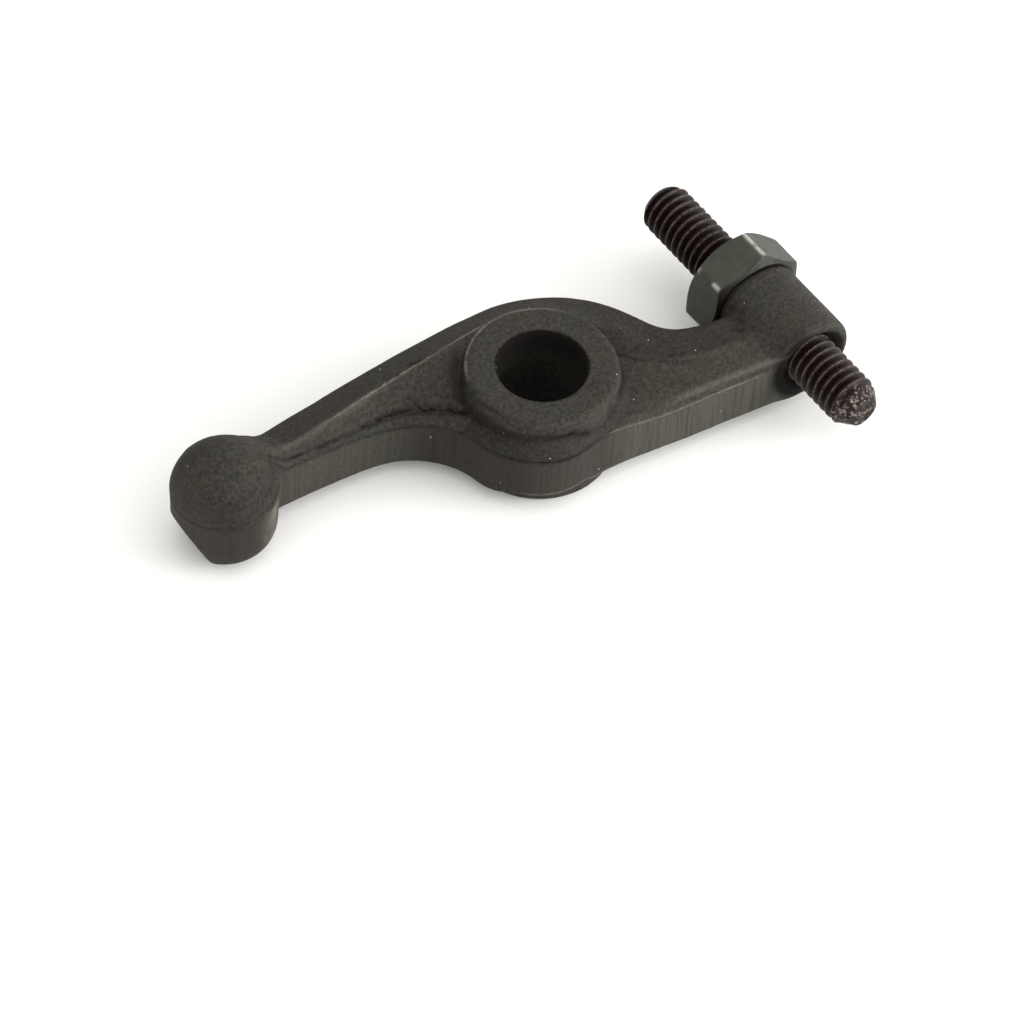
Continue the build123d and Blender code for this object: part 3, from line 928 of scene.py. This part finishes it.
tone = addNode(tree, "ValToRGB", {"stops": stops}, {"Fac": patch}, "Color")
broken = addNode(tree, "ValToRGB", {"stops": [(0.42, grey(0.0)), (0.58, grey(1.0))]}, {"Fac": patch}, "Color")
brightened = addNode(tree, "Math", {"operation": "MULTIPLY"}, {0: wearAndHighlight, 1: broken}, 0)
colour = addNode(tree, "Mix", {**mixing, cover: fromHex(s["worn"])}, {amount: brightened, base: tone}, mixed)
# oil and painted shadow on the low face and its bevel
colour = addNode(tree, "Mix", {**mixing, cover: fromHex(s["oilAndShadow"])}, {amount: oiledAndShaded, base: colour}, mixed)
stops = [(0.3, grey(s["roughness"][0])), (0.7, grey(s["roughness"][1]))]
matt = addNode(tree, "ValToRGB", {"stops": stops}, {"Fac": grain}, "Color")
bump = addNode(tree, "Bump", {"Strength": 0.6, "Distance": s["bumpMm"] * mm}, {"Height": grain}, "Normal")
shader = addNode(tree, "BsdfPrincipled", {"Specular IOR Level": s["specular"]},
                 {"Base Color": colour, "Roughness": matt, "Normal": bump}, 0)
addNode(tree, "OutputMaterial", None, {"Surface": shader})
hexLockNut.data.materials.append(phosphate)
print("finishes set")

# white tent, brighter on the side of the near walls, with a small softbox low beside the screw
light = {
    "towards": (0.48, -0.83, 0.28),
    "level": 1.17,
    "slope": 0.58,
    "tint": (1.0, 0.99, 0.955, 1.0),
    "boxSize": 0.25,  # metres
    "boxWatts": 1.6,
    "boxPlace": (0.28, -0.30, 0.12),
}
world = bpy.data.worlds.new("tent")
world.use_nodes = True
tree = world.node_tree
tree.nodes.clear()
heading = addNode(tree, "TexCoord", out="Generated")
facing = addNode(tree, "VectorMath", {"operation": "DOT_PRODUCT", 1: light["towards"]}, {0: heading}, "Value")
glow = addNode(tree, "Math", {"operation": "MULTIPLY_ADD", 1: light["slope"], 2: light["level"]},
               {0: facing}, 0)
tent = addNode(tree, "Background", {"Color": light["tint"]}, {"Strength": glow}, 0)
addNode(tree, "OutputWorld", None, {"Surface": tent})
bpy.context.scene.world = world
lamp = bpy.data.objects.new("softbox", bpy.data.lights.new("softbox", "AREA"))
lamp.data.size = light["boxSize"]
lamp.data.energy = light["boxWatts"]
lamp.location = light["boxPlace"]
lamp.rotation_euler = Vector(lamp.location).to_track_quat("Z", "Y").to_euler()
bpy.context.scene.collection.objects.link(lamp)
bpy.context.scene.view_settings.view_transform = "Standard"
print("light set")
